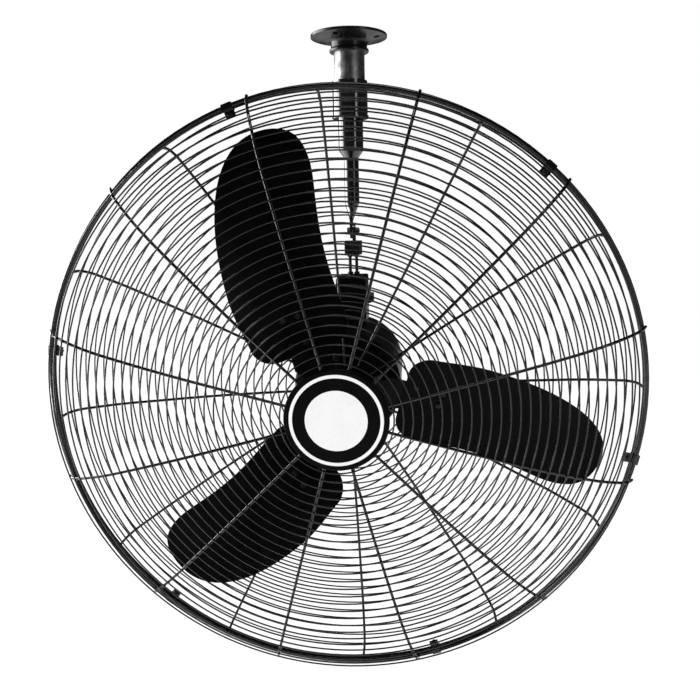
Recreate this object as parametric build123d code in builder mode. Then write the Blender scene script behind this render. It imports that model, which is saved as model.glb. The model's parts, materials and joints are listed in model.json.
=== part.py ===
from build123d import *
import os
from math import asin, cos, degrees, radians, sin

# Industrial circulator fan that hangs from a beam on a pipe.
# Millimetres, +Z up. The origin is the centre of the flange's top face, on the pipe's axis,
# and the fan blows towards -Y.

# Driving dimensions of the hanger, from the beam down
flange_radius = 60.0
flange_edge = 4.0
flange_root = 8.5
flange_waist_radius = 28.5
flange_lip_radius = 31.0
flange_height = 25.5
flange_blend = 6.0
flange_lip_height = 4.0
flange_lip_chamfer = 1.0
flange_hole_radius = 4.8
flange_hole_count = 4
flange_hole_circle = 94.0
flange_hole_turn = -20.0
pipe_radius = 24.15
pipe_wall = 3.2
pipe_top_gap = 1.0
pipe_bottom = 108.0
pipe_groove_drop = 49.0
pipe_groove_depth = 0.6
pipe_groove_width = 1.2
sleeve_top = 67.0
sleeve_bottom = 123.0
sleeve_wall = 3.85
sleeve_floor = 13.0
sleeve_lip = 1.5
sleeve_lip_height = 4.0
clamp_inset = 10.0
clamp_stand = 4.0
arm_radius = 20.0
arm_bore_radius = 15.0
arm_bore_depth = 46.0
arm_neck_end = 172.0
arm_shoulder_end = 183.0
arm_shank_radius = 12.0
arm_shank_end = 254.0
arm_flat_start = 285.0
tilt_drop = 299.0
tang_thickness = 4.0
tang_width = 26.0
tang_gap = 0.2

# Driving dimensions of the motor's hanger bracket
block_width = 29.0
block_depth = 30.0
block_top = 316.0
block_bottom = 338.0
block_corner = 3.0
block_stud_cover = 3.0
box_top = 372.0
box_width = 49.0
box_front = -62.0
box_rear = 10.0
box_wall = 2.5
box_cover = 2.0
box_corner = 3.0
cover_screw_inset = 6.0
cover_screw_radius = 2.0
cover_screw_head = 3.8
stud_radius = 2.2
stud_spacing_x = 11.0
stud_spacing_y = 12.0
stud_nut_height = 4.0
stud_nut_flats = 7.6
gland_drop = box_top + 36.0
gland_radius = 10.5
gland_reach = 11.0
gland_thread_radius = 6.9
gland_bore_radius = 4.0
gland_nut = 6.0
gland_inside = 3.0
capacitor_radius = 14.0
capacitor_length = 46.0
capacitor_lift = 8.0
capacitor_inset = 16.0
strap_thickness = 1.5
strap_width = 12.0
strap_foot_width = 16.0

# Driving dimensions of the fan head; z there runs forwards along the fan's axis from the rim's plane
fan_drop = 528.0
fan_reach = 250.0
guard_radius = 419.0
rim_wire_radius = 3.2
rim_gap = 0.4
rib_radius = 2.0
ring_radius = 1.1
ring_pitch = 12.5
rib_count = 12
front_rib_angle = 105.1
rear_rib_angle = 93.2
front_depth = 70.0
front_knee = (240.0, 1100.0)
front_shoulder = (guard_radius - 60.5, 54.0, 208.0)
front_rim_fillet = 60.0
front_landing = 20.5
front_hook_angle = 58.0
front_first_ring = 75.0
rear_depth = 82.0
rear_knee = (190.0, 900.0)
rear_shoulder = (guard_radius - 69.0, 62.0, 250.0)
rear_wall_radius = guard_radius - 4.5
rear_wall_corner = (40.0, 28.0)
rear_first_ring = 94.5
front_rib_start = 30.0
rear_rib_start = 40.0
front_plate_radius = 62.0
front_plate_thickness = 1.5
rear_plate_radius = 62.0
rear_plate_bore = 20.0
rear_plate_thickness = 2.0
badge_radius = 69.5
badge_thickness = 5.0
badge_ring_outer = 62.0
badge_ring_width = 4.5
badge_disc_radius = 41.0
badge_inlay = 0.5

# Driving dimensions of the blades and their hub
blade_count = 3
blade_angle = 105.5
blade_thickness = 2.0
blade_pitch = 21.3
blade_offset = 32.0
blade_plane_z = -7.5
blade_camber = 8.0
blade_camber_radius = 337.0
blade_half_chord = 95.0
blade_tip_radius = 381.0
arm_sheet = 4.0
hub_radius = 22.0
hub_front = 12.0
hub_rear = -36.0
hub_screw_lead = 14.0
rivet_radius = 2.4
rivet_head_radius = 5.0
rivet_head_height = 2.2
rivet_places = [(96.0, -9.0), (96.0, 13.0), (134.0, -9.0), (134.0, 13.0)]

# Driving dimensions of the motor
motor_radius = 82.5
motor_wall = 3.0
shell_front = -106.0
shell_rear = -262.0
bell_step = 6.0
bell_face_radius = 64.0
bell_wall = 5.0
bell_spigot = 7.0
rear_bell_depth = 24.0
vent_count = 8
vent_radius = 50.0
vent_length = 22.0
vent_width = 8.0
bearing_bore_radius = 8.5
bearing_radius = 20.0
bearing_width = 12.0
bearing_boss_radius = 27.0
shaft_radius = 7.94
shaft_shoulder_radius = 11.0
shaft_front = 14.0
stator_length = 64.0
stator_bore_radius = 48.0
stator_slot_count = 24
stator_slot_depth = 17.0
stator_slot_width = 5.0
winding_outer_radius = 69.0
winding_height = 20.0
rotor_air_gap = 0.4
tie_bolt_circle = 74.0
tie_bolt_radius = 2.5

# Clearances and small shared sizes
seat_gap = 0.05
weld_gap = 0.06
running_gap = 0.05
screw_gap = 0.1
cut_over = 1.0
edge_round = 1.0
thread_show = 1.5
m6_radius = 3.0
m6_flats = 10.0
m6_head = 4.0
m6_nut = 5.0
m6_key = 3.0
washer_thickness = 1.0
washer_radius = 6.0
pan_head = 2.4
m8_radius = 4.0
m8_flats = 13.0
m8_head = 5.5
m8_nut = 6.0

os.makedirs("parts", exist_ok=True)


def hex_radius(flats):
    """Corner radius of a hexagon of the given width across flats."""
    return flats / 2 / cos(radians(30))


def fan_point(x, y, z):
    """Point of the part's frame for x right, y up and z forwards of the fan's centre."""
    return (x, -fan_reach - z, -fan_drop + y)


# The fan's own frame: X right, Y up and Z forwards along the axis
fan_plane = Plane(origin=fan_point(0, 0, 0), x_dir=(1, 0, 0), z_dir=(0, -1, 0))
fan_axis = Axis(fan_point(0, 0, 0), (0, -1, 0))
# A plane through the fan's axis: X is the radius and Y runs forwards
meridian = Plane(origin=fan_point(0, 0, 0), x_dir=(1, 0, 0), z_dir=(0, 0, -1))


# Ceiling flange
flange_bore_radius = pipe_radius + seat_gap
flange_lip_slope = flange_lip_radius - flange_waist_radius
flange_screw_z = -flange_height + flange_lip_height + m6_radius + 1.5 * edge_round
with BuildPart() as ceiling_flange:
    with BuildSketch(Plane.XZ):
        with BuildLine():
            Polyline(
                (flange_bore_radius, 0),
                (flange_radius, 0),
                (flange_radius, -flange_edge),
                (flange_lip_radius + flange_blend, -flange_root),
            )
            Spline(
                (flange_lip_radius + flange_blend, -flange_root),
                (flange_waist_radius, -flange_root - flange_blend),
                tangents=((-1, 0.1), (0, -1)),
            )
            Polyline(
                (flange_waist_radius, -flange_root - flange_blend),
                (flange_waist_radius, -flange_height + flange_lip_height + flange_lip_slope),
                (flange_lip_radius, -flange_height + flange_lip_height),
                (flange_lip_radius, -flange_height + flange_lip_chamfer),
                (flange_lip_radius - flange_lip_chamfer, -flange_height),
                (flange_bore_radius, -flange_height),
                (flange_bore_radius, 0),
            )
        make_face()
    revolve(axis=Axis.Z)
    with BuildSketch(Plane.XY):
        with PolarLocations(flange_hole_circle / 2, flange_hole_count, start_angle=flange_hole_turn):
            Circle(flange_hole_radius)
    extrude(amount=-flange_height, mode=Mode.SUBTRACT)
    with BuildSketch(Plane.XZ):
        with Locations((0, flange_screw_z)):
            Circle(m6_radius + seat_gap)
    extrude(amount=-flange_radius, mode=Mode.SUBTRACT)
    fillet(ceiling_flange.edges().group_by(Axis.Z)[-1].sort_by(SortBy.RADIUS)[-1], edge_round)
ceiling_flange.part.label = "ceiling_flange"
export_step(ceiling_flange.part, "parts/ceiling_flange.step")


# Drop pipe, with the shallow groove above the swivel
with BuildPart() as drop_pipe:
    with BuildSketch(Plane.XY.offset(-pipe_bottom)):
        Circle(pipe_radius)
        Circle(pipe_radius - pipe_wall, mode=Mode.SUBTRACT)
    extrude(amount=pipe_bottom - pipe_top_gap)
    with BuildSketch(Plane.XY.offset(-pipe_groove_drop)):
        Circle(pipe_radius + cut_over)
        Circle(pipe_radius - pipe_groove_depth, mode=Mode.SUBTRACT)
    extrude(amount=pipe_groove_width, mode=Mode.SUBTRACT)
drop_pipe.part.label = "drop_pipe"
export_step(drop_pipe.part, "parts/drop_pipe.step")


# Set screw that locks the pipe in the flange, at the back
with BuildPart() as flange_set_screw:
    with BuildSketch(Plane.XZ.offset(-pipe_radius - seat_gap)):
        with Locations((0, flange_screw_z)):
            Circle(m6_radius)
    extrude(amount=-(flange_lip_radius - pipe_radius))
    with BuildSketch(Plane.XZ.offset(-flange_lip_radius - seat_gap)):
        with Locations((0, flange_screw_z)):
            RegularPolygon(hex_radius(m6_key), 6)
    extrude(amount=m6_key, mode=Mode.SUBTRACT)
flange_set_screw.part.label = "flange_set_screw"
export_step(flange_set_screw.part, "parts/flange_set_screw.step")


# Swivel sleeve that turns on the pipe
sleeve_bore_radius = pipe_radius + running_gap
sleeve_radius = pipe_radius + sleeve_wall
clamp_drops = [sleeve_top + clamp_inset, pipe_bottom - clamp_inset]
with BuildPart() as swivel_sleeve:
    with BuildSketch(Plane.XY.offset(-sleeve_bottom)):
        Circle(sleeve_radius)
    extrude(amount=sleeve_bottom - sleeve_top)
    with BuildSketch(Plane.XY.offset(-sleeve_bottom)):
        Circle(sleeve_radius + sleeve_lip)
    extrude(amount=sleeve_lip_height)
    fillet(swivel_sleeve.edges().group_by(Axis.Z)[0], edge_round)
    with BuildSketch(Plane.XY.offset(-sleeve_bottom)):
        Circle(arm_radius + seat_gap)
    extrude(amount=sleeve_bottom - sleeve_top, mode=Mode.SUBTRACT)
    with BuildSketch(Plane.XY.offset(-sleeve_bottom + sleeve_floor)):
        Circle(sleeve_bore_radius)
    extrude(amount=sleeve_bottom - sleeve_top - sleeve_floor, mode=Mode.SUBTRACT)
    with BuildSketch(Plane.XZ):
        for drop in clamp_drops:
            with Locations((0, -drop)):
                Circle(m8_radius + seat_gap)
    extrude(amount=-sleeve_radius - cut_over, mode=Mode.SUBTRACT)
swivel_sleeve.part.label = "swivel_sleeve"
export_step(swivel_sleeve.part, "parts/swivel_sleeve.step")


# Two hexagon screws that clamp the sleeve to the pipe, at the back
with BuildPart() as sleeve_clamp_screws:
    for drop in clamp_drops:
        with BuildSketch(Plane.XZ.offset(-pipe_radius - screw_gap)):
            with Locations((0, -drop)):
                Circle(m8_radius)
        extrude(amount=-(sleeve_wall + m8_nut + clamp_stand))
        with BuildSketch(Plane.XZ.offset(-sleeve_radius - m8_nut - clamp_stand)):
            with Locations((0, -drop)):
                RegularPolygon(hex_radius(m8_flats), 6)
        extrude(amount=-m8_head)
sleeve_clamp_screws.part.label = "sleeve_clamp_screws"
export_step(sleeve_clamp_screws.part, "parts/sleeve_clamp_screws.step")


# Lock nuts of the clamp screws
with BuildPart() as sleeve_lock_nuts:
    for drop in clamp_drops:
        with BuildSketch(Plane.XZ.offset(-sleeve_radius - seat_gap)):
            with Locations((0, -drop)):
                RegularPolygon(hex_radius(m8_flats), 6)
                Circle(m8_radius + seat_gap, mode=Mode.SUBTRACT)
        extrude(amount=-m8_nut)
sleeve_lock_nuts.part.label = "sleeve_lock_nuts"
export_step(sleeve_lock_nuts.part, "parts/sleeve_lock_nuts.step")


# Hanger arm: a round neck, a slimmer shank and a flattened tang with the tilt bolt's hole
tang_x = -(tang_gap + tang_thickness) / 2
arm_top = sleeve_bottom - sleeve_floor + edge_round
with BuildPart() as hanger_arm:
    with BuildSketch(Plane.XZ):
        with BuildLine():
            Polyline(
                (0, -arm_top),
                (arm_radius, -arm_top),
                (arm_radius, -arm_neck_end),
                (arm_shank_radius, -arm_shoulder_end),
                (arm_shank_radius, -arm_shank_end),
                (0, -arm_shank_end),
                (0, -arm_top),
            )
        make_face()
    revolve(axis=Axis.Z)
    with BuildSketch(Plane.XY.offset(-arm_top)):
        Circle(arm_bore_radius)
    extrude(amount=-arm_bore_depth, mode=Mode.SUBTRACT)
    with BuildSketch(Plane.XY.offset(-arm_shank_end)):
        Circle(arm_shank_radius)
    with BuildSketch(Plane.XY.offset(-arm_flat_start)):
        with Locations((tang_x, 0)):
            Rectangle(tang_thickness, tang_width)
    loft()
    with BuildSketch(Plane.YZ.offset(tang_x - tang_thickness / 2)):
        with Locations((0, -(arm_flat_start + tilt_drop) / 2)):
            Rectangle(tang_width, tilt_drop - arm_flat_start)
        with Locations((0, -tilt_drop)):
            Circle(tang_width / 2)
    extrude(amount=tang_thickness)
    with BuildSketch(Plane.YZ.offset(-tang_width)):
        with Locations((0, -tilt_drop)):
            Circle(m6_radius + running_gap)
    extrude(amount=2 * tang_width, mode=Mode.SUBTRACT)
hanger_arm.part.label = "hanger_arm"
export_step(hanger_arm.part, "parts/hanger_arm.step")


# Tilt bolt, its nut and the two washers
tang_face = tang_gap / 2 + tang_thickness
washer_inner = tang_face + seat_gap
washer_outer = washer_inner + washer_thickness
with BuildPart() as tilt_bolt:
    with BuildSketch(Plane.YZ.offset(-washer_outer - seat_gap)):
        with Locations((0, -tilt_drop)):
            RegularPolygon(hex_radius(m6_flats), 6)
    extrude(amount=-m6_head)
    with BuildSketch(Plane.YZ.offset(-washer_outer - seat_gap)):
        with Locations((0, -tilt_drop)):
            Circle(m6_radius)
    extrude(amount=2 * washer_outer + m6_nut + thread_show)
tilt_bolt.part.label = "tilt_bolt"
export_step(tilt_bolt.part, "parts/tilt_bolt.step")

with BuildPart() as tilt_nut:
    with BuildSketch(Plane.YZ.offset(washer_outer + seat_gap)):
        with Locations((0, -tilt_drop)):
            RegularPolygon(hex_radius(m6_flats), 6)
            Circle(m6_radius + seat_gap, mode=Mode.SUBTRACT)
    extrude(amount=m6_nut)
tilt_nut.part.label = "tilt_nut"
export_step(tilt_nut.part, "parts/tilt_nut.step")

with BuildPart() as tilt_washers:
    for start in (-washer_outer, washer_inner):
        with BuildSketch(Plane.YZ.offset(start)):
            with Locations((0, -tilt_drop)):
                Circle(washer_radius)
                Circle(m6_radius + seat_gap, mode=Mode.SUBTRACT)
        extrude(amount=washer_thickness)
tilt_washers.part.label = "tilt_washers"
export_step(tilt_washers.part, "parts/tilt_washers.step")


# Tilt block: the lug beside the tang and the block that the studs hang from
with BuildPart() as tilt_block:
    with BuildSketch(Plane.XY.offset(-block_bottom)):
        RectangleRounded(block_width, block_depth, block_corner)
        with GridLocations(stud_spacing_x, stud_spacing_y, 2, 2):
            Circle(stud_radius + seat_gap, mode=Mode.SUBTRACT)
    extrude(amount=block_bottom - block_top)
    with BuildSketch(Plane.YZ.offset(tang_gap / 2)):
        with Locations((0, -(block_top + tilt_drop + cut_over) / 2)):
            Rectangle(tang_width, block_top + cut_over - tilt_drop)
        with Locations((0, -tilt_drop)):
            Circle(tang_width / 2)
        with Locations((0, -tilt_drop)):
            Circle(m6_radius + running_gap, mode=Mode.SUBTRACT)
    extrude(amount=tang_thickness)
tilt_block.part.label = "tilt_block"
export_step(tilt_block.part, "parts/tilt_block.step")


# Studs between the tilt block and the box on the motor, with nuts at both ends
with BuildPart() as hanger_studs:
    with BuildSketch(Plane.XY.offset(-box_top - box_wall - stud_nut_height - thread_show)):
        with GridLocations(stud_spacing_x, stud_spacing_y, 2, 2):
            Circle(stud_radius)
    extrude(amount=box_top + box_wall + stud_nut_height + thread_show - block_top - block_stud_cover)
hanger_studs.part.label = "hanger_studs"
export_step(hanger_studs.part, "parts/hanger_studs.step")

with BuildPart() as stud_nuts:
    for base in (-block_bottom - stud_nut_height - seat_gap, -box_top + seat_gap):
        with BuildSketch(Plane.XY.offset(base)):
            with GridLocations(stud_spacing_x, stud_spacing_y, 2, 2):
                RegularPolygon(hex_radius(stud_nut_flats), 6, major_radius=True)
            with GridLocations(stud_spacing_x, stud_spacing_y, 2, 2):
                Circle(stud_radius + seat_gap, mode=Mode.SUBTRACT)
        extrude(amount=stud_nut_height)
stud_nuts.part.label = "stud_nuts"
export_step(stud_nuts.part, "parts/stud_nuts.step")


# Hanger box that stands on the motor and holds its capacitor, open at the rear
box_depth = box_rear - box_front
box_mid_y = (box_rear + box_front) / 2
box_seat_radius = motor_radius + seat_gap
with BuildPart() as hanger_box:
    with BuildSketch(Plane.XY.offset(-fan_drop)):
        with Locations((0, box_mid_y)):
            Rectangle(box_width, box_depth)
    extrude(amount=fan_drop - box_top)
    fillet(hanger_box.edges().filter_by(Axis.Y).group_by(Axis.Z)[-1], box_corner)
    with BuildSketch(Plane.XZ.offset(-box_rear)):
        with Locations((0, -(box_top + box_wall + fan_drop) / 2)):
            Rectangle(box_width - 2 * box_wall, fan_drop - box_top - box_wall)
    extrude(amount=box_depth - box_wall, mode=Mode.SUBTRACT)
    with BuildSketch(Plane.XZ.offset(-box_rear - cut_over)):
        with Locations((0, -fan_drop)):
            Circle(box_seat_radius)
    extrude(amount=box_depth + 2 * cut_over, mode=Mode.SUBTRACT)
    with BuildSketch(Plane.XY.offset(-box_top)):
        with GridLocations(stud_spacing_x, stud_spacing_y, 2, 2):
            Circle(stud_radius + seat_gap)
    extrude(amount=-box_wall, mode=Mode.SUBTRACT)
    with BuildSketch(Plane.YZ.offset(box_width / 2 + cut_over)):
        with Locations((box_mid_y, -gland_drop)):
            Circle(gland_thread_radius + seat_gap)
    extrude(amount=-box_wall - 2 * cut_over, mode=Mode.SUBTRACT)
hanger_box.part.label = "hanger_box"
export_step(hanger_box.part, "parts/hanger_box.step")


# Rear cover of the box and its screws
cover_base = fan_drop - motor_radius - edge_round
cover_height = cover_base - box_top
cover_screw_across = box_width - 2 * cover_screw_inset
cover_screw_up = cover_height - 2 * cover_screw_inset
with BuildPart() as box_rear_cover:
    with BuildSketch(Plane.XZ.offset(-box_rear - seat_gap)):
        with Locations((0, -(box_top + cover_base) / 2)):
            RectangleRounded(box_width, cover_height, box_corner)
            with GridLocations(cover_screw_across, cover_screw_up, 2, 2):
                Circle(cover_screw_radius + seat_gap, mode=Mode.SUBTRACT)
    extrude(amount=-box_cover)
box_rear_cover.part.label = "box_rear_cover"
export_step(box_rear_cover.part, "parts/box_rear_cover.step")

with BuildPart() as cover_screws:
    with BuildSketch(Plane.XZ.offset(-box_rear - seat_gap - box_cover - seat_gap)):
        with Locations((0, -(box_top + cover_base) / 2)):
            with GridLocations(cover_screw_across, cover_screw_up, 2, 2):
                Circle(cover_screw_head)
    extrude(amount=-pan_head)
    fillet(cover_screws.edges().group_by(Axis.Y)[-1], pan_head / 2)
    with BuildSketch(Plane.XZ.offset(-box_rear - seat_gap - box_cover - seat_gap)):
        with Locations((0, -(box_top + cover_base) / 2)):
            with GridLocations(cover_screw_across, cover_screw_up, 2, 2):
                Circle(cover_screw_radius)
    extrude(amount=box_cover + seat_gap)
cover_screws.part.label = "cover_screws"
export_step(cover_screws.part, "parts/cover_screws.step")


# Cable gland in the box's right side
with BuildPart() as cable_gland:
    with BuildSketch(Plane.YZ.offset(box_width / 2 - box_wall - gland_inside)):
        with Locations((box_mid_y, -gland_drop)):
            Circle(gland_thread_radius)
    extrude(amount=box_wall + gland_inside + gland_reach)
    with BuildSketch(Plane.YZ.offset(box_width / 2 + seat_gap)):
        with Locations((box_mid_y, -gland_drop)):
            RegularPolygon(gland_radius, 6)
    extrude(amount=gland_nut)
    with BuildSketch(Plane.YZ.offset(box_width / 2 + gland_nut)):
        with Locations((box_mid_y, -gland_drop)):
            Circle(gland_radius - 2 * edge_round)
    extrude(amount=gland_reach - gland_nut)
    fillet(cable_gland.edges().group_by(Axis.X)[-1], edge_round)
    with BuildSketch(Plane.YZ.offset(box_width / 2 - box_wall - gland_inside - cut_over)):
        with Locations((box_mid_y, -gland_drop)):
            Circle(gland_bore_radius)
    extrude(amount=box_wall + gland_inside + gland_reach + 2 * cut_over, mode=Mode.SUBTRACT)
cable_gland.part.label = "cable_gland"
export_step(cable_gland.part, "parts/cable_gland.step")


# Run capacitor, lying on its clamp inside the box
capacitor_drop = fan_drop - motor_radius - capacitor_radius - capacitor_lift
strap_y = box_rear - capacitor_inset - (capacitor_length - strap_width) / 2
with BuildPart() as run_capacitor:
    with BuildSketch(Plane.XZ.offset(capacitor_inset - box_rear)):
        with Locations((0, -capacitor_drop)):
            Circle(capacitor_radius)
    extrude(amount=capacitor_length)
    fillet(run_capacitor.edges().filter_by(GeomType.CIRCLE), edge_round)
run_capacitor.part.label = "run_capacitor"
export_step(run_capacitor.part, "parts/run_capacitor.step")

with BuildPart() as capacitor_clamp:
    with BuildSketch(Plane.XZ.offset(-strap_y)):
        with Locations((0, -(capacitor_drop + fan_drop) / 2)):
            Rectangle(strap_foot_width, fan_drop - capacitor_drop)
        with Locations((0, -capacitor_drop)):
            Circle(capacitor_radius + strap_thickness)
            Circle(capacitor_radius + seat_gap, mode=Mode.SUBTRACT)
        with Locations((0, -fan_drop)):
            Circle(box_seat_radius, mode=Mode.SUBTRACT)
    extrude(amount=strap_width)
capacitor_clamp.part.label = "capacitor_clamp"
export_step(capacitor_clamp.part, "parts/capacitor_clamp.step")


# Motor shell
with BuildPart() as motor_shell:
    with BuildSketch(fan_plane.offset(shell_rear)):
        Circle(motor_radius)
        Circle(motor_radius - motor_wall, mode=Mode.SUBTRACT)
    extrude(amount=shell_front - shell_rear)
motor_shell.part.label = "motor_shell"
export_step(motor_shell.part, "parts/motor_shell.step")


# Front bell: stepped face for the guard plate, bearing seat and vents
rear_plate_front = -rear_depth - rib_radius - weld_gap
rear_plate_rear = rear_plate_front - rear_plate_thickness
bell_face = rear_plate_rear - seat_gap
bell_edge = bell_face - bell_step
spigot_radius = motor_radius - motor_wall - seat_gap
seat_front = bell_face - bell_wall
front_bearing_z = seat_front - bearing_width / 2 - seat_gap
bearing_seat_radius = bearing_radius + seat_gap
tie_hole_radius = tie_bolt_radius + 0.2
guard_screw_circle = 50.0
tie_turn = 45.0
with BuildPart() as motor_front_bell:
    with BuildSketch(meridian):
        with BuildLine():
            Polyline(
                (bearing_bore_radius + 1.0, bell_face),
                (bell_face_radius, bell_face),
                (bell_face_radius + 2, bell_edge),
                (motor_radius - 6, bell_edge),
            )
            RadiusArc((motor_radius - 6, bell_edge), (motor_radius, bell_edge - 6), 6)
            Polyline(
                (motor_radius, bell_edge - 6),
                (motor_radius, shell_front + seat_gap),
                (spigot_radius, shell_front + seat_gap),
                (spigot_radius, shell_front - bell_spigot),
                (spigot_radius - bell_wall, shell_front - bell_spigot),
                (spigot_radius - bell_wall, bell_edge - bell_wall),
                (bearing_boss_radius, bell_edge - bell_wall),
                (bearing_boss_radius, seat_front - bearing_width - 1),
                (bearing_seat_radius, seat_front - bearing_width - 1),
                (bearing_seat_radius, seat_front),
                (bearing_bore_radius + 1.0, seat_front),
                (bearing_bore_radius + 1.0, bell_face),
            )
        make_face()
    revolve(axis=fan_axis)
    with BuildSketch(fan_plane.offset(bell_face + 1)):
        with PolarLocations(guard_screw_circle, 4, start_angle=rear_rib_angle + 15):
            Circle(m6_radius - 0.4)
    extrude(amount=-bell_step - bell_wall - 2, mode=Mode.SUBTRACT)
    with BuildSketch(fan_plane.offset(bell_face + 1)):
        with PolarLocations(tie_bolt_circle, 4, start_angle=tie_turn):
            Circle(tie_hole_radius)
    extrude(amount=shell_front - bell_spigot - bell_face - 2, mode=Mode.SUBTRACT)
motor_front_bell.part.label = "motor_front_bell"
export_step(motor_front_bell.part, "parts/motor_front_bell.step")


# Rear bell with vents and the rear bearing's seat
rear_face = shell_rear - rear_bell_depth
rear_seat = rear_face + bell_wall
rear_bearing_z = rear_seat + bearing_width / 2 + seat_gap
with BuildPart() as motor_rear_bell:
    with BuildSketch(meridian):
        with BuildLine():
            Polyline(
                (0, rear_face),
                (motor_radius - 14, rear_face),
            )
            RadiusArc((motor_radius - 14, rear_face), (motor_radius, rear_face + 14), -14)
            Polyline(
                (motor_radius, rear_face + 14),
                (motor_radius, shell_rear - seat_gap),
                (spigot_radius, shell_rear - seat_gap),
                (spigot_radius, shell_rear + bell_spigot),
                (spigot_radius - bell_wall, shell_rear + bell_spigot),
                (spigot_radius - bell_wall, rear_face + 16),
                (spigot_radius - bell_wall - 9, rear_seat),
                (bearing_boss_radius, rear_seat),
                (bearing_boss_radius, rear_seat + bearing_width + 1),
                (bearing_seat_radius, rear_seat + bearing_width + 1),
                (bearing_seat_radius, rear_seat),
                (0, rear_seat),
                (0, rear_face),
            )
        make_face()
    revolve(axis=fan_axis)
    with BuildSketch(fan_plane.offset(rear_face - 1)):
        with PolarLocations(tie_bolt_circle - 6, 4, start_angle=tie_turn):
            Circle(tie_hole_radius)
        with PolarLocations(vent_radius, vent_count, start_angle=22.5):
            SlotOverall(vent_length, vent_width)
    extrude(amount=bell_wall + 9, mode=Mode.SUBTRACT)
motor_rear_bell.part.label = "motor_rear_bell"
export_step(motor_rear_bell.part, "parts/motor_rear_bell.step")


# Bearings
for bearing_name, bearing_z in (("front_bearing", front_bearing_z), ("rear_bearing", rear_bearing_z)):
    with BuildPart() as bearing:
        with BuildSketch(fan_plane.offset(bearing_z - bearing_width / 2)):
            Circle(bearing_radius)
            Circle(bearing_bore_radius + running_gap, mode=Mode.SUBTRACT)
        extrude(amount=bearing_width)
        for side in (-1, 1):
            with BuildSketch(fan_plane.offset(bearing_z + side * (bearing_width / 2 - 0.8))):
                Circle(bearing_radius - 3)
                Circle(bearing_bore_radius + 3, mode=Mode.SUBTRACT)
            extrude(amount=side, mode=Mode.SUBTRACT)
        chamfer(bearing.edges().filter_by(GeomType.CIRCLE).sort_by(SortBy.RADIUS)[-2:], 0.6)
    bearing.part.label = bearing_name
    export_step(bearing.part, "parts/" + bearing_name + ".step")


# Stator core with its slots, and the winding's end turns
stator_mid = (shell_front + shell_rear) / 2
stator_rear = stator_mid - stator_length / 2
stator_front = stator_mid + stator_length / 2
stator_radius = motor_radius - motor_wall - seat_gap
with BuildPart() as stator_core:
    with BuildSketch(fan_plane.offset(stator_rear)):
        Circle(stator_radius)
        Circle(stator_bore_radius, mode=Mode.SUBTRACT)
        with PolarLocations(stator_bore_radius + stator_slot_depth / 2, stator_slot_count):
            Rectangle(stator_slot_depth + 4, stator_slot_width, mode=Mode.SUBTRACT)
        with PolarLocations(tie_bolt_circle, 4, start_angle=tie_turn):
            Circle(tie_hole_radius, mode=Mode.SUBTRACT)
    extrude(amount=stator_length)
stator_core.part.label = "stator_core"
export_step(stator_core.part, "parts/stator_core.step")

with BuildPart() as stator_windings:
    for start, height in ((stator_front + seat_gap, winding_height), (stator_rear - seat_gap, -winding_height)):
        with BuildSketch(fan_plane.offset(start)):
            Circle(winding_outer_radius)
            Circle(stator_bore_radius + 3, mode=Mode.SUBTRACT)
        extrude(amount=height)
    fillet(stator_windings.edges().group_by(Axis.Y)[0] + stator_windings.edges().group_by(Axis.Y)[-1], 6)
stator_windings.part.label = "stator_windings"
export_step(stator_windings.part, "parts/stator_windings.step")


# Screws that hold the two bells
with BuildPart() as motor_tie_bolts:
    with BuildSketch(fan_plane.offset(bell_edge + seat_gap)):
        with PolarLocations(tie_bolt_circle, 4, start_angle=tie_turn):
            Circle(tie_bolt_radius)
    extrude(amount=-(bell_edge - shell_front + 20))
    with BuildSketch(fan_plane.offset(bell_edge + seat_gap)):
        with PolarLocations(tie_bolt_circle, 4, start_angle=tie_turn):
            RegularPolygon(hex_radius(7.0), 6)
    extrude(amount=3.0)
motor_tie_bolts.part.label = "motor_tie_bolts"
export_step(motor_tie_bolts.part, "parts/motor_tie_bolts.step")

with BuildPart() as rear_bell_screws:
    with BuildSketch(fan_plane.offset(rear_face - seat_gap)):
        with PolarLocations(tie_bolt_circle - 6, 4, start_angle=tie_turn):
            Circle(tie_bolt_radius)
    extrude(amount=bell_wall + 12)
    with BuildSketch(fan_plane.offset(rear_face - seat_gap)):
        with PolarLocations(tie_bolt_circle - 6, 4, start_angle=tie_turn):
            RegularPolygon(hex_radius(7.0), 6)
    extrude(amount=-3.0)
rear_bell_screws.part.label = "rear_bell_screws"
export_step(rear_bell_screws.part, "parts/rear_bell_screws.step")


# Shaft and rotor
shaft_rear = rear_seat + 1.0
front_shoulder_z = front_bearing_z - bearing_width / 2 - 0.3
rear_shoulder_z = rear_bearing_z + bearing_width / 2 + 0.3
with BuildPart() as motor_shaft:
    with BuildSketch(meridian):
        with BuildLine():
            Polyline(
                (0, shaft_front),
                (shaft_radius - 0.8, shaft_front),
                (shaft_radius, shaft_front - 0.8),
                (shaft_radius, bell_face + 3),
                (bearing_bore_radius, bell_face + 3),
                (bearing_bore_radius, front_shoulder_z),
                (shaft_shoulder_radius, front_shoulder_z),
                (shaft_shoulder_radius, rear_shoulder_z),
                (bearing_bore_radius, rear_shoulder_z),
                (bearing_bore_radius, shaft_rear),
                (0, shaft_rear),
                (0, shaft_front),
            )
        make_face()
    revolve(axis=fan_axis)
motor_shaft.part.label = "motor_shaft"
export_step(motor_shaft.part, "parts/motor_shaft.step")

with BuildPart() as rotor_core:
    with BuildSketch(fan_plane.offset(stator_rear)):
        Circle(stator_bore_radius - rotor_air_gap)
        Circle(shaft_shoulder_radius + seat_gap, mode=Mode.SUBTRACT)
        with PolarLocations(30, 8):
            Circle(5, mode=Mode.SUBTRACT)
    extrude(amount=stator_length)
rotor_core.part.label = "rotor_core"
export_step(rotor_core.part, "parts/rotor_core.step")


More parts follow.
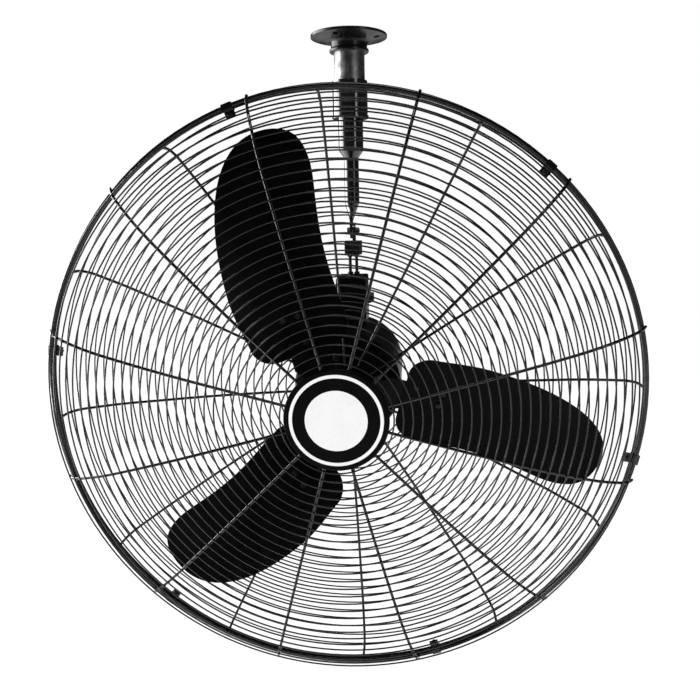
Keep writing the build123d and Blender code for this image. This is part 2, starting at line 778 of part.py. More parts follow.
# The blade's own frame: X out along the blade, Y across it and Z forwards.
# Its section is an arc, so the section plane is pitched about X.
pitch = radians(blade_pitch)
section_plane = Plane(origin=(0, blade_offset, blade_plane_z), x_dir=(0, cos(pitch), sin(pitch)), z_dir=(1, 0, 0))
arc_centre_height = blade_camber_radius - blade_camber
arc_half_angle = degrees(asin(blade_half_chord / blade_camber_radius))


def sheet_outline(front_radius, back_radius):
    """Edges of a thin arc between two radii about the camber's centre, in the section plane."""
    start = 270 - arc_half_angle
    with BuildLine() as outline:
        front = CenterArc((0, arc_centre_height), front_radius, start, 2 * arc_half_angle)
        back = CenterArc((0, arc_centre_height), back_radius, start, 2 * arc_half_angle)
        Line(front @ 0, back @ 0)
        Line(front @ 1, back @ 1)
    return outline.edges()


def sheet_plane(out, across, radius):
    """Plane on the sheet at a distance out and across, facing forwards out of the sheet."""
    turn = asin(across / blade_camber_radius)
    place = (radius * sin(turn), arc_centre_height - radius * cos(turn), out)
    normal = section_plane.x_dir * -sin(turn) + section_plane.y_dir * cos(turn)
    return Plane(origin=section_plane.from_local_coords(place), x_dir=(1, 0, 0), z_dir=normal)


blade_back_radius = blade_camber_radius + blade_thickness
arm_front_radius = blade_back_radius + seat_gap
arm_back_radius = arm_front_radius + arm_sheet
rivet_planes = [sheet_plane(out, across, blade_camber_radius) for out, across in rivet_places]

# Paddle outline: leading edge, round tip, trailing edge and round root corners
with BuildPart() as blade_blank:
    with BuildSketch(section_plane.offset(60)):
        make_face(sheet_outline(blade_camber_radius, blade_back_radius))
    extrude(amount=blade_tip_radius - 60)
    with BuildSketch(Plane.XY.offset(-80)):
        with BuildLine():
            root = Line((80, 70), (80, -8))
            lead_corner = RadiusArc(root @ 1, (106, -37), -29)
            lead = Spline(
                lead_corner @ 1,
                (190, -34),
                (282, -44),
                (338, -50),
                (366, -40),
                (blade_tip_radius, -4),
                (374, 30),
                (352, 56),
                (300, 83),
                (240, 97),
                (180, 102),
                (112, 96),
                tangents=((1, 0), (-1, -0.12)),
            )
            RadiusArc(lead @ 1, root @ 0, -32)
        make_face()
    extrude(amount=160, mode=Mode.INTERSECT)
    for rivet_plane in rivet_planes:
        with BuildSketch(rivet_plane):
            Circle(rivet_radius + seat_gap)
        extrude(amount=6, both=True, mode=Mode.SUBTRACT)
blade_angles = [blade_angle + 360 / blade_count * number for number in range(blade_count)]
for number, angle in enumerate(blade_angles, 1):
    with BuildPart(fan_plane) as fan_blade:
        with PolarLocations(0, 1, start_angle=angle):
            add(blade_blank.part)
    fan_blade.part.label = "fan_blade_" + str(number)
    export_step(fan_blade.part, "parts/fan_blade_" + str(number) + ".step")

# One arm of the hub, behind its blade
with BuildPart() as hub_arm:
    with BuildSketch(section_plane.offset(6)):
        make_face(sheet_outline(arm_front_radius, arm_back_radius))
    extrude(amount=146)
    with BuildSketch(Plane.XY.offset(-80)):
        with BuildLine():
            Polyline((8, -14), (60, 2), (148, 16), (152, 34), (148, 50), (60, 52), (8, 14), close=True)
        make_face()
    extrude(amount=160, mode=Mode.INTERSECT)
    for rivet_plane in rivet_planes:
        with BuildSketch(rivet_plane):
            Circle(rivet_radius + seat_gap)
        extrude(amount=12, both=True, mode=Mode.SUBTRACT)

# Cast blade hub with its arms, bored for the shaft and tapped for the set screw.
# The arms are wider on one side, so the screw stands past the middle between two of them.
hub_screw_z = hub_rear + 7
hub_screw_turn = radians(blade_angle - 180 / blade_count + hub_screw_lead)
hub_screw_plane = Plane(
    origin=fan_point(0, 0, hub_screw_z), x_dir=(0, -1, 0), z_dir=(cos(hub_screw_turn), 0, sin(hub_screw_turn))
)
hub_bore_radius = shaft_radius + seat_gap
with BuildPart(fan_plane) as blade_hub:
    with PolarLocations(0, blade_count, start_angle=blade_angle):
        add(hub_arm.part)
    with BuildSketch(fan_plane.offset(hub_rear)):
        Circle(hub_radius)
    extrude(amount=hub_front - hub_rear)
    with BuildSketch(fan_plane.offset(hub_rear - 1)):
        Circle(hub_bore_radius)
    extrude(amount=hub_front - hub_rear + 2, mode=Mode.SUBTRACT)
    with BuildSketch(hub_screw_plane):
        Circle(m6_radius + seat_gap)
    extrude(amount=hub_radius + 1, mode=Mode.SUBTRACT)
blade_hub.part.label = "blade_hub"
export_step(blade_hub.part, "parts/blade_hub.step")

with BuildPart() as hub_set_screw:
    with BuildSketch(hub_screw_plane.offset(shaft_radius + seat_gap)):
        Circle(m6_radius)
    extrude(amount=hub_radius + 2 - shaft_radius)
    with BuildSketch(hub_screw_plane.offset(hub_radius + 1)):
        RegularPolygon(hex_radius(m6_flats), 6)
    extrude(amount=m6_head)
hub_set_screw.part.label = "hub_set_screw"
export_step(hub_set_screw.part, "parts/hub_set_screw.step")

# Rivets that hold each blade to its arm
with BuildPart() as rivet_set:
    for rivet_plane in rivet_planes:
        with BuildSketch(rivet_plane.offset(seat_gap)):
            Circle(rivet_head_radius)
        extrude(amount=rivet_head_height, taper=30)
        with BuildSketch(rivet_plane.offset(-blade_thickness - arm_sheet - 3 * seat_gap)):
            Circle(rivet_head_radius)
        extrude(amount=-rivet_head_height, taper=30)
        with BuildSketch(rivet_plane.offset(-blade_thickness - arm_sheet - 4 * seat_gap)):
            Circle(rivet_radius)
        extrude(amount=blade_thickness + arm_sheet + 6 * seat_gap)
with BuildPart(fan_plane) as blade_rivets:
    with PolarLocations(0, blade_count, start_angle=blade_angle):
        add(rivet_set.part)
blade_rivets.part.label = "blade_rivets"
export_step(blade_rivets.part, "parts/blade_rivets.step")


# Guards. Each rib follows a meridian of straight runs joined by arcs, drawn in the radius and
# the height z, and the ring wires lie on the ribs' outer side at an even pitch along them.
rim_radius = guard_radius - rim_wire_radius
front_rim_z = rim_gap / 2 + rim_wire_radius
rear_rim_z = -front_rim_z

# The front ribs land on the front of the rim and end just past it
hook = radians(front_hook_angle)
landing_gap = rim_wire_radius + rib_radius + weld_gap
landing = (rim_radius + landing_gap * sin(hook), front_rim_z + landing_gap * cos(hook))
rib_tip = (landing[0] - 1.5 * cos(hook), landing[1] + 1.5 * sin(hook))
rib_turn = (rib_tip[0] - front_landing * cos(hook), rib_tip[1] + front_landing * sin(hook))
with BuildLine(Plane.XZ) as front_path:
    FilletPolyline(
        (front_rib_start, front_depth),
        (front_knee[0], front_depth),
        front_shoulder[:2],
        rib_turn,
        rib_tip,
        radius=[front_knee[1], front_shoulder[2], front_rim_fillet],
    )
rear_rib_end = rear_rim_z - rim_wire_radius - weld_gap
with BuildLine(Plane.XZ) as rear_path:
    FilletPolyline(
        (rear_rib_start, -rear_depth),
        (rear_knee[0], -rear_depth),
        (rear_shoulder[0], -rear_shoulder[1]),
        (rear_wall_radius, -rear_wall_corner[0]),
        (rear_wall_radius, rear_rib_end),
        radius=[rear_knee[1], rear_shoulder[2], rear_wall_corner[1]],
    )


def ring_places(path, start_radius, first_ring, outward):
    """Radius and height of each ring wire, at an even pitch along the rib and touching it."""
    places = []
    distance = first_ring - start_radius
    while distance < path.length - 1.4 * ring_pitch:
        point = path.position_at(distance, position_mode=PositionMode.LENGTH)
        run = path.tangent_at(distance, position_mode=PositionMode.LENGTH)
        lift = rib_radius + ring_radius + weld_gap
        places.append((point.X - outward * run.Z * lift, point.Z + outward * run.X * lift))
        distance += ring_pitch
    return places


guards = (
    ("front", front_path.wire(), front_rib_start, front_first_ring, 1, front_rib_angle, front_rim_z),
    ("rear", rear_path.wire(), rear_rib_start, rear_first_ring, -1, rear_rib_angle, rear_rim_z),
)
for side, path, start_radius, first_ring, outward, rib_angle, rim_z in guards:
    with BuildPart() as rib:
        with BuildSketch(Plane(origin=path @ 0, z_dir=path % 0)):
            Circle(rib_radius)
        sweep(path=path)
    with BuildPart(fan_plane) as guard_ribs:
        with PolarLocations(0, rib_count, start_angle=rib_angle):
            add(rib.part)
    guard_ribs.part.label = side + "_guard_ribs"
    export_step(guard_ribs.part, "parts/" + side + "_guard_ribs.step")

    rings = ring_places(path, start_radius, first_ring, outward)
    print(side, "guard rings:", len(rings), "outermost", [round(value, 1) for value in rings[-1]])
    middle = len(rings) // 2
    for band, places in (("inner", rings[:middle]), ("outer", rings[middle:])):
        rings_name = side + "_guard_" + band + "_rings"
        with BuildPart(fan_plane) as guard_rings:
            for radius, height in places:
                with Locations((0, 0, height)):
                    Torus(radius, ring_radius)
        guard_rings.part.label = rings_name
        export_step(guard_rings.part, "parts/" + rings_name + ".step")

    with BuildPart(fan_plane) as guard_rim:
        with Locations((0, 0, rim_z)):
            Torus(rim_radius, rim_wire_radius)
    guard_rim.part.label = side + "_guard_rim"
    export_step(guard_rim.part, "parts/" + side + "_guard_rim.step")


# Rear guard plate, screwed to the motor's front bell
with BuildPart() as rear_guard_plate:
    with BuildSketch(fan_plane.offset(rear_plate_rear)):
        Circle(rear_plate_radius)
        Circle(rear_plate_bore, mode=Mode.SUBTRACT)
        with PolarLocations(guard_screw_circle, 4, start_angle=rear_rib_angle + 15):
            Circle(m6_radius - 0.4, mode=Mode.SUBTRACT)
    extrude(amount=rear_plate_thickness)
rear_guard_plate.part.label = "rear_guard_plate"
export_step(rear_guard_plate.part, "parts/rear_guard_plate.step")

with BuildPart() as guard_plate_screws:
    with BuildSketch(fan_plane.offset(rear_plate_front + seat_gap)):
        with PolarLocations(guard_screw_circle, 4, start_angle=rear_rib_angle + 15):
            Circle(5.0)
    extrude(amount=3.0)
    fillet(guard_plate_screws.edges().group_by(Axis.Y)[0], 1.5)
    with BuildSketch(fan_plane.offset(rear_plate_front + seat_gap)):
        with PolarLocations(guard_screw_circle, 4, start_angle=rear_rib_angle + 15):
            Circle(m6_radius - 0.5)
    extrude(amount=-rear_plate_thickness - bell_wall)
guard_plate_screws.part.label = "guard_plate_screws"
export_step(guard_plate_screws.part, "parts/guard_plate_screws.step")


# Front guard plate and the round badge cap with its pale ring and disc, left blank
front_plate_rear = front_depth + rib_radius + weld_gap
front_plate_front = front_plate_rear + front_plate_thickness
badge_screw_circle = 18.0
with BuildPart() as front_guard_plate:
    with BuildSketch(fan_plane.offset(front_plate_rear)):
        Circle(front_plate_radius)
        with PolarLocations(badge_screw_circle, 3, start_angle=90):
            Circle(1.8, mode=Mode.SUBTRACT)
    extrude(amount=front_plate_thickness)
front_guard_plate.part.label = "front_guard_plate"
export_step(front_guard_plate.part, "parts/front_guard_plate.step")

badge_rear = front_plate_front + seat_gap
badge_front = badge_rear + badge_thickness
badge_bands = (
    ("badge_ring", badge_ring_outer, badge_ring_outer - badge_ring_width),
    ("badge_disc", badge_disc_radius, 0),
)
with BuildPart() as badge_cap:
    with BuildSketch(fan_plane.offset(badge_rear)):
        Circle(badge_radius)
    extrude(amount=badge_thickness)
    fillet(badge_cap.edges().group_by(Axis.Y)[0], 2.5)
    with BuildSketch(fan_plane.offset(badge_front)):
        for band_name, outer, inner in badge_bands:
            Circle(outer + seat_gap)
            if inner:
                Circle(inner - seat_gap, mode=Mode.SUBTRACT)
    extrude(amount=-badge_inlay, mode=Mode.SUBTRACT)
    with BuildSketch(fan_plane.offset(badge_rear)):
        with PolarLocations(badge_screw_circle, 3, start_angle=90):
            Circle(1.6)
    extrude(amount=3.5, mode=Mode.SUBTRACT)
badge_cap.part.label = "badge_cap"
export_step(badge_cap.part, "parts/badge_cap.step")

for band_name, outer, inner in badge_bands:
    with BuildPart() as badge_band:
        with BuildSketch(fan_plane.offset(badge_front - badge_inlay + seat_gap)):
            Circle(outer)
            if inner:
                Circle(inner, mode=Mode.SUBTRACT)
        extrude(amount=badge_inlay)
    badge_band.part.label = band_name
    export_step(badge_band.part, "parts/" + band_name + ".step")

with BuildPart() as badge_screws:
    with BuildSketch(fan_plane.offset(front_plate_rear - seat_gap)):
        with PolarLocations(badge_screw_circle, 3, start_angle=90):
            Circle(3.5)
    extrude(amount=-2.4)
    with BuildSketch(fan_plane.offset(front_plate_rear - seat_gap)):
        with PolarLocations(badge_screw_circle, 3, start_angle=90):
            Circle(1.5)
    extrude(amount=front_plate_thickness + 3.3)
badge_screws.part.label = "badge_screws"
export_step(badge_screws.part, "parts/badge_screws.step")


# Clips that clamp the two rims together, each a strap with two tabs and a screw
clip_count = 6
clip_turn = front_rib_angle + 4
clip_width_angle = 1.8
clip_sheet = 1.3
clip_clear = 0.15
clip_tab = 10.0
clip_slot = 1.6
clip_inner = rim_radius - rim_wire_radius - clip_clear
clip_outer = rim_radius + rim_wire_radius + clip_clear
clip_front = front_rim_z + rim_wire_radius + clip_clear
with BuildPart() as clip:
    with BuildSketch(Plane.XZ.rotated((0, 0, -clip_width_angle / 2))):
        with Locations(((clip_inner + clip_outer) / 2, 0)):
            RectangleRounded(clip_outer - clip_inner + 2 * clip_sheet, 2 * (clip_front + clip_sheet), 2)
            Rectangle(clip_outer - clip_inner, 2 * clip_front, mode=Mode.SUBTRACT)
        with Locations((clip_inner - clip_tab / 2, 0)):
            Rectangle(clip_tab, clip_slot + 2 * clip_sheet)
        with Locations((clip_inner - clip_tab / 2, 0)):
            Rectangle(clip_tab + 4 * clip_sheet, clip_slot, mode=Mode.SUBTRACT)
    revolve(axis=Axis.Z, revolution_arc=clip_width_angle)
    clip_screw_radius = clip_inner - clip_tab / 2 - 1.0
    with BuildSketch(Plane.XY.offset(-10)):
        with Locations((clip_screw_radius, 0)):
            Circle(2.1)
    extrude(amount=20, mode=Mode.SUBTRACT)
with BuildPart(fan_plane) as guard_clips:
    with PolarLocations(0, clip_count, start_angle=clip_turn):
        add(clip.part)
guard_clips.part.label = "guard_clips"
export_step(guard_clips.part, "parts/guard_clips.step")

clip_face = clip_slot / 2 + clip_sheet + seat_gap
with BuildPart() as clip_screws:
    with BuildSketch(fan_plane.offset(clip_face)):
        with PolarLocations(clip_screw_radius, clip_count, start_angle=clip_turn):
            Circle(3.6)
    extrude(amount=2.4)
    fillet(clip_screws.edges().group_by(Axis.Y)[0], 1.2)
    with BuildSketch(fan_plane.offset(clip_face)):
        with PolarLocations(clip_screw_radius, clip_count, start_angle=clip_turn):
            Circle(2.0)
    extrude(amount=-2 * clip_face - 3.5)
clip_screws.part.label = "clip_screws"
export_step(clip_screws.part, "parts/clip_screws.step")

with BuildPart() as clip_nuts:
    with BuildSketch(fan_plane.offset(-clip_face)):
        with PolarLocations(clip_screw_radius, clip_count, start_angle=clip_turn):
            RegularPolygon(hex_radius(6.5), 6)
        with PolarLocations(clip_screw_radius, clip_count, start_angle=clip_turn):
            Circle(2.05, mode=Mode.SUBTRACT)
    extrude(amount=-2.8)
clip_nuts.part.label = "clip_nuts"
export_step(clip_nuts.part, "parts/clip_nuts.step")
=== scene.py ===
import json

import bpy
from mathutils import Matrix, Vector


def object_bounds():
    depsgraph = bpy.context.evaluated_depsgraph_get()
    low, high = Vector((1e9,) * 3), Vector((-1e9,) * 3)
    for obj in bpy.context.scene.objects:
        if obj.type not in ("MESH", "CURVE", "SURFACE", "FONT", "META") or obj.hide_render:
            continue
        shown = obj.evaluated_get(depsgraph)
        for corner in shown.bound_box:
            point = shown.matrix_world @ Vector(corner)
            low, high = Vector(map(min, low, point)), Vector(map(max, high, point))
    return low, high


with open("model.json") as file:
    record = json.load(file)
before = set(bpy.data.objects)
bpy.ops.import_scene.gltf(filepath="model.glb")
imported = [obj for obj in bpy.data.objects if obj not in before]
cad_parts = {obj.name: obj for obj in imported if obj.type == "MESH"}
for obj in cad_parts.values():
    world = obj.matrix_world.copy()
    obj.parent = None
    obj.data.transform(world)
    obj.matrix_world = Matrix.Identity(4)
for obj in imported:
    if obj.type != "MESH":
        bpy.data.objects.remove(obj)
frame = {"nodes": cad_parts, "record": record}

nodes = frame["nodes"]
cad_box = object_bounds()

# The photograph's camera, in the part's frame: place, directions and framing
CAMERA_PLACE = Vector((0.0937, -1.1479, -0.2580))
CAMERA_RIGHT = Vector((0.998, 0.061, -0.016))
CAMERA_BACK = Vector((0.0635, -0.9654, 0.2528))
CAMERA_LENS = 34.4
SENSOR_WIDTH = 36.0
CAMERA_SHIFT = (-0.023, 0.0427)

# The studio's room. In gloss it is dark, but white on the left, beyond these X of a direction.
ROOM_LIGHT = 0.70
DARK_GLOSS = 0.02
WHITE_GLOSS_STARTS = -0.80
WHITE_GLOSS_FULL = -0.95

# The floor, its share of plain white to the camera and that white's strength
FLOOR_GAP = 0.35
FLOOR_SIZE = 12.0
FLOOR_COLOUR = (0.86, 0.86, 0.86)
FLOOR_GLOW = 0.9
FLOOR_WHITE = 1.05

# Soft boxes: place, width, height and watts. They face a point in the fan's head.
LAMP_TARGET = Vector((0, -0.28, -0.45))
SOFT_BOXES = {
    "left_box": ((-2.1, 0.35, -0.1), 2.2, 2.0, 110.0),
    "right_box": ((1.75, -1.75, -0.1), 0.55, 1.7, 7.0),
    "top_box": ((0.1, -0.9, 1.5), 1.2, 0.4, 11.0),
}

# Noise is used between these two of its values, which leave out its rare extremes
NOISE_LOW = 0.35
NOISE_HIGH = 0.65

# Noise cells in a metre: of the colour, of the gloss and of the relief
ENAMEL_CELLS = (26, 90, 420)
METAL_CELLS = (60, 160, 300)
PLASTIC_CELLS = (40, 200, 900)

# How grain is stretched: not at all, round the motor's axis, up the pipe, and as sheets and turns
EVEN = (1, 1, 1)
ACROSS_Y = (1, 0.04, 1)
ALONG_Z = (1, 1, 0.06)
SHEET_EDGES = (1, 30, 1)
WIRE_TURNS = (0.25, 4, 0.25)


def make_camera():
    """Camera at the photograph's place, looking down a little at the fan."""
    back = CAMERA_BACK.normalized()
    up = back.cross(CAMERA_RIGHT).normalized()
    right = up.cross(back)
    camera = bpy.data.objects.new("camera", bpy.data.cameras.new("camera"))
    bpy.context.scene.collection.objects.link(camera)
    turn = Matrix((right, up, back)).transposed().to_4x4()
    camera.matrix_world = Matrix.Translation(CAMERA_PLACE) @ turn
    camera.data.lens = CAMERA_LENS
    camera.data.sensor_width = SENSOR_WIDTH
    camera.data.shift_x, camera.data.shift_y = CAMERA_SHIFT
    bpy.context.scene.camera = camera
    bpy.context.scene.view_settings.view_transform = "Standard"


def math_node(tree, operation, first, second):
    """A Math node whose inputs are sockets or plain numbers; returns its output."""
    node = tree.nodes.new("ShaderNodeMath")
    node.operation = operation
    for socket, value in zip(node.inputs, (first, second)):
        if isinstance(value, (int, float)):
            socket.default_value = value
        else:
            tree.links.new(value, socket)
    return node.outputs[0]


def seen_directly(tree, light_path):
    """1 for rays from the camera, also through glass, and 0 for the rest."""
    return math_node(tree, "MAXIMUM", light_path["Is Camera Ray"], light_path["Is Transmission Ray"])


def make_world():
    """White where it is seen directly; in gloss, white at the left and dark elsewhere."""
    world = bpy.data.worlds.new("studio")
    bpy.context.scene.world = world
    world.use_nodes = True
    tree = world.node_tree
    tree.nodes.clear()
    light_path = tree.nodes.new("ShaderNodeLightPath").outputs
    direction = tree.nodes.new("ShaderNodeSeparateXYZ")
    tree.links.new(tree.nodes.new("ShaderNodeTexCoord").outputs["Generated"], direction.inputs[0])
    left = tree.nodes.new("ShaderNodeMapRange")
    tree.links.new(direction.outputs["X"], left.inputs["Value"])
    left.inputs["From Min"].default_value = WHITE_GLOSS_STARTS
    left.inputs["From Max"].default_value = WHITE_GLOSS_FULL
    glossy_white = math_node(tree, "MULTIPLY", light_path["Is Glossy Ray"], left.outputs[0])
    white = math_node(tree, "MAXIMUM", seen_directly(tree, light_path), glossy_white)
    dimming = math_node(tree, "MULTIPLY", light_path["Is Glossy Ray"], ROOM_LIGHT - DARK_GLOSS)
    room = math_node(tree, "SUBTRACT", ROOM_LIGHT, dimming)
    # A mix of numbers: its factor is input 0, and the numbers are inputs 2 and 3
    strength = tree.nodes.new("ShaderNodeMix")
    tree.links.new(white, strength.inputs[0])
    tree.links.new(room, strength.inputs[2])
    strength.inputs[3].default_value = 1.0
    background = tree.nodes.new("ShaderNodeBackground")
    tree.links.new(strength.outputs[0], background.inputs["Strength"])
    background.inputs["Color"].default_value = (1, 1, 1, 1)
    output = tree.nodes.new("ShaderNodeOutputWorld")
    tree.links.new(background.outputs[0], output.inputs["Surface"])


def make_lamps():
    """Soft boxes that face the fan's head."""
    for name, (place, width, height, watts) in SOFT_BOXES.items():
        lamp = bpy.data.lights.new(name, "AREA")
        lamp.shape = "RECTANGLE"
        lamp.size, lamp.size_y = width, height
        lamp.energy = watts
        lamp_object = bpy.data.objects.new(name, lamp)
        bpy.context.scene.collection.objects.link(lamp_object)
        lamp_object.location = place
        lamp_object.rotation_mode = "QUATERNION"
        lamp_object.rotation_quaternion = (LAMP_TARGET - Vector(place)).to_track_quat("-Z", "Y")
        lamp_object.visible_camera = False


def new_material(name, colour, **settings):
    """A node material with its Principled shader set; socket names have _ for a space."""
    material = bpy.data.materials.new(name)
    material.use_nodes = True
    shader = material.node_tree.nodes["Principled BSDF"]
    shader.inputs["Base Color"].default_value = (*colour, 1)
    for socket, value in settings.items():
        shader.inputs[socket.replace("_", " ")].default_value = value
    return material


def noise(material, scale, detail=3.0, stretch=EVEN):
    """Noise over the part's own coordinates; scale counts its cells in a metre."""
    tree = material.node_tree
    place = tree.nodes.new("ShaderNodeTexCoord")
    mapping = tree.nodes.new("ShaderNodeMapping")
    mapping.inputs["Scale"].default_value = stretch
    texture = tree.nodes.new("ShaderNodeTexNoise")
    texture.inputs["Scale"].default_value = scale
    texture.inputs["Detail"].default_value = detail
    tree.links.new(place.outputs["Object"], mapping.inputs["Vector"])
    tree.links.new(mapping.outputs[0], texture.inputs["Vector"])
    return texture.outputs[0]


def vary_colour(material, source, dark, pale):
    """Takes the base colour from dark to pale as the noise rises."""
    tree = material.node_tree
    ramp = tree.nodes.new("ShaderNodeValToRGB")
    stops = zip(ramp.color_ramp.elements, (NOISE_LOW, NOISE_HIGH), (dark, pale))
    for element, position, colour in stops:
        element.position = position
        element.color = (*colour, 1)
    tree.links.new(source, ramp.inputs[0])
    tree.links.new(ramp.outputs[0], tree.nodes["Principled BSDF"].inputs["Base Color"])


def vary_roughness(material, source, smooth, rough):
    """Takes the roughness from smooth to rough as the noise rises."""
    tree = material.node_tree
    spread = tree.nodes.new("ShaderNodeMapRange")
    spread.inputs["From Min"].default_value = NOISE_LOW
    spread.inputs["From Max"].default_value = NOISE_HIGH
    spread.inputs["To Min"].default_value = smooth
    spread.inputs["To Max"].default_value = rough
    tree.links.new(source, spread.inputs[0])
    tree.links.new(spread.outputs[0], tree.nodes["Principled BSDF"].inputs["Roughness"])


def relief(material, height, depth, edge_radius=0.0):
    """Bump of the given depth in metres, over edges softened to the given radius."""
    tree = material.node_tree
    bump = tree.nodes.new("ShaderNodeBump")
    bump.inputs["Distance"].default_value = depth
    tree.links.new(height, bump.inputs["Height"])
    if edge_radius:
        edge = tree.nodes.new("ShaderNodeBevel")
        edge.samples = 4
        edge.inputs["Radius"].default_value = edge_radius
        tree.links.new(edge.outputs[0], bump.inputs["Normal"])
    tree.links.new(bump.outputs[0], tree.nodes["Principled BSDF"].inputs["Normal"])


def enamel(name, dark, pale, roughness, peel, edge=0.0, specular=0.5, coat=0.0):
    """Sprayed enamel: faint mottling, uneven gloss and an orange-peel surface."""
    material = new_material(
        name, dark, Specular_IOR_Level=specular, Coat_Weight=coat, Coat_Roughness=0.06
    )
    mottling, patches, dimples = ENAMEL_CELLS
    vary_colour(material, noise(material, mottling, 5), dark, pale)
    vary_roughness(material, noise(material, patches, 4), *roughness)
    relief(material, noise(material, dimples, 2), peel, edge)
    return material


def metal(name, dark, pale, roughness, grain, stretch=EVEN, edge=0.0004):
    """Bare or plated metal: cloudy colour and a fine grain drawn out one way."""
    material = new_material(name, dark, Metallic=1.0)
    clouds, wear, scratches = METAL_CELLS
    vary_colour(material, noise(material, clouds, 6), dark, pale)
    vary_roughness(material, noise(material, wear, 4, stretch), *roughness)
    relief(material, noise(material, scratches, 3, stretch), grain, edge)
    return material


def plastic(name, dark, pale, roughness, grain, edge=0.0005, specular=0.4):
    """Moulded plastic with a slight grain."""
    material = new_material(name, dark, Specular_IOR_Level=specular)
    mottling, patches, pits = PLASTIC_CELLS
    vary_colour(material, noise(material, mottling, 4), dark, pale)
    vary_roughness(material, noise(material, patches, 3), *roughness)
    relief(material, noise(material, pits, 2), grain, edge)
    return material


def varnished_wire(name, coat, **finish):
    """Copper wire under a clear varnish."""
    material = metal(name, **finish)
    material.node_tree.nodes["Principled BSDF"].inputs["Coat Weight"].default_value = coat
    return material


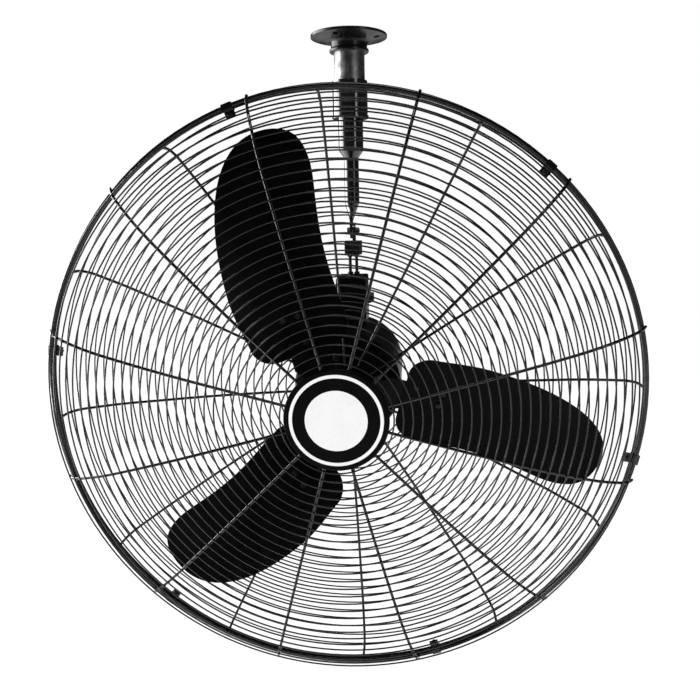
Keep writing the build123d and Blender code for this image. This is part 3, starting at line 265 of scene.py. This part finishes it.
# The finish of each material slot: its maker, and the colours, range of roughness, depth of
# relief, softened edge and gloss that the maker needs. Depths and edges are in metres.
FINISHES = {
    "flange_black": (enamel, {
        "dark": (0.002, 0.002, 0.0022), "pale": (0.006, 0.006, 0.0063),
        "roughness": (0.20, 0.36), "peel": 0.00010, "edge": 0.0012, "specular": 0.3,
    }),
    "zinc_pipe": (metal, {
        "dark": (0.13, 0.13, 0.135), "pale": (0.34, 0.34, 0.345),
        "roughness": (0.30, 0.50), "grain": 0.00005, "stretch": ALONG_Z,
    }),
    "gloss_black": (enamel, {
        "dark": (0.004, 0.004, 0.0045), "pale": (0.009, 0.009, 0.010),
        "roughness": (0.10, 0.18), "peel": 0.00002, "edge": 0.0008, "specular": 0.6, "coat": 0.7,
    }),
    "blade_black": (enamel, {
        "dark": (0.0008, 0.0008, 0.0009), "pale": (0.002, 0.002, 0.0022),
        "roughness": (0.26, 0.38), "peel": 0.00002, "specular": 0.05,
    }),
    "motor_black": (enamel, {
        "dark": (0.0012, 0.0012, 0.0013), "pale": (0.003, 0.003, 0.0033),
        "roughness": (0.26, 0.40), "peel": 0.00006, "edge": 0.0010, "specular": 0.10,
    }),
    "wire_black": (enamel, {
        "dark": (0.0012, 0.0012, 0.0013), "pale": (0.003, 0.003, 0.0033),
        "roughness": (0.14, 0.24), "peel": 0.00002, "specular": 0.4, "coat": 0.2,
    }),
    "badge_black": (plastic, {
        "dark": (0.001, 0.001, 0.0011), "pale": (0.002, 0.002, 0.0022),
        "roughness": (0.14, 0.22), "grain": 0.00001, "specular": 0.06,
    }),
    "badge_white": (plastic, {
        "dark": (0.93, 0.93, 0.93), "pale": (0.96, 0.96, 0.96),
        "roughness": (0.25, 0.35), "grain": 0.00001,
    }),
    "gland_plastic": (plastic, {
        "dark": (0.012, 0.012, 0.013), "pale": (0.024, 0.024, 0.025),
        "roughness": (0.42, 0.60), "grain": 0.00006,
    }),
    "lamination_steel": (metal, {
        "dark": (0.16, 0.16, 0.17), "pale": (0.33, 0.33, 0.34),
        "roughness": (0.35, 0.6), "grain": 0.00004, "stretch": SHEET_EDGES,
    }),
    "copper_winding": (varnished_wire, {
        "dark": (0.30, 0.10, 0.03), "pale": (0.62, 0.27, 0.10),
        "roughness": (0.25, 0.5), "grain": 0.0003, "stretch": WIRE_TURNS, "coat": 0.5,
    }),
    "capacitor_can": (metal, {
        "dark": (0.55, 0.55, 0.56), "pale": (0.74, 0.74, 0.75),
        "roughness": (0.28, 0.40), "grain": 0.00003, "stretch": ACROSS_Y,
    }),
    "cast_hub": (enamel, {
        "dark": (0.001, 0.001, 0.0011), "pale": (0.003, 0.003, 0.0033),
        "roughness": (0.28, 0.46), "peel": 0.00015, "edge": 0.0012, "specular": 0.08,
    }),
    "ground_steel": (metal, {
        "dark": (0.42, 0.42, 0.43), "pale": (0.60, 0.60, 0.61),
        "roughness": (0.12, 0.26), "grain": 0.00002, "stretch": ACROSS_Y,
    }),
    "black_fastener": (enamel, {
        "dark": (0.002, 0.002, 0.0022), "pale": (0.006, 0.006, 0.0063),
        "roughness": (0.26, 0.44), "peel": 0.00005, "edge": 0.0004, "specular": 0.25,
    }),
    "zinc_fastener": (metal, {
        "dark": (0.40, 0.40, 0.42), "pale": (0.62, 0.62, 0.63),
        "roughness": (0.24, 0.44), "grain": 0.00003,
    }),
}


def dress_nodes():
    """Gives each CAD node the material of its slot in the record."""
    materials = {slot: make(slot, **finish) for slot, (make, finish) in FINISHES.items()}
    for part in frame["record"]["subparts"]:
        node = nodes[part["node"]]
        node.data.materials.clear()
        node.data.materials.append(materials[part["material_slot"]])


def make_floor():
    """Pale floor below the fan, white to the camera where nothing shades it."""
    bottom = cad_box[0].z - FLOOR_GAP
    half = FLOOR_SIZE / 2
    mesh = bpy.data.meshes.new("floor")
    corners = [(x, y, bottom) for x, y in ((-half, -half), (half, -half), (half, half), (-half, half))]
    mesh.from_pydata(corners, [], [(0, 1, 2, 3)])
    floor = bpy.data.objects.new("floor", mesh)
    bpy.context.scene.collection.objects.link(floor)
    material = new_material("floor", FLOOR_COLOUR, Roughness=0.9, Specular_IOR_Level=0.1)
    tree = material.node_tree
    light_path = tree.nodes.new("ShaderNodeLightPath").outputs
    white = tree.nodes.new("ShaderNodeEmission")
    white.inputs["Strength"].default_value = FLOOR_WHITE
    glow = math_node(tree, "MULTIPLY", seen_directly(tree, light_path), FLOOR_GLOW)
    mix = tree.nodes.new("ShaderNodeMixShader")
    tree.links.new(glow, mix.inputs[0])
    tree.links.new(tree.nodes["Principled BSDF"].outputs[0], mix.inputs[1])
    tree.links.new(white.outputs[0], mix.inputs[2])
    tree.links.new(mix.outputs[0], tree.nodes["Material Output"].inputs["Surface"])
    mesh.materials.append(material)


make_camera()
make_world()
make_lamps()
make_floor()
dress_nodes()
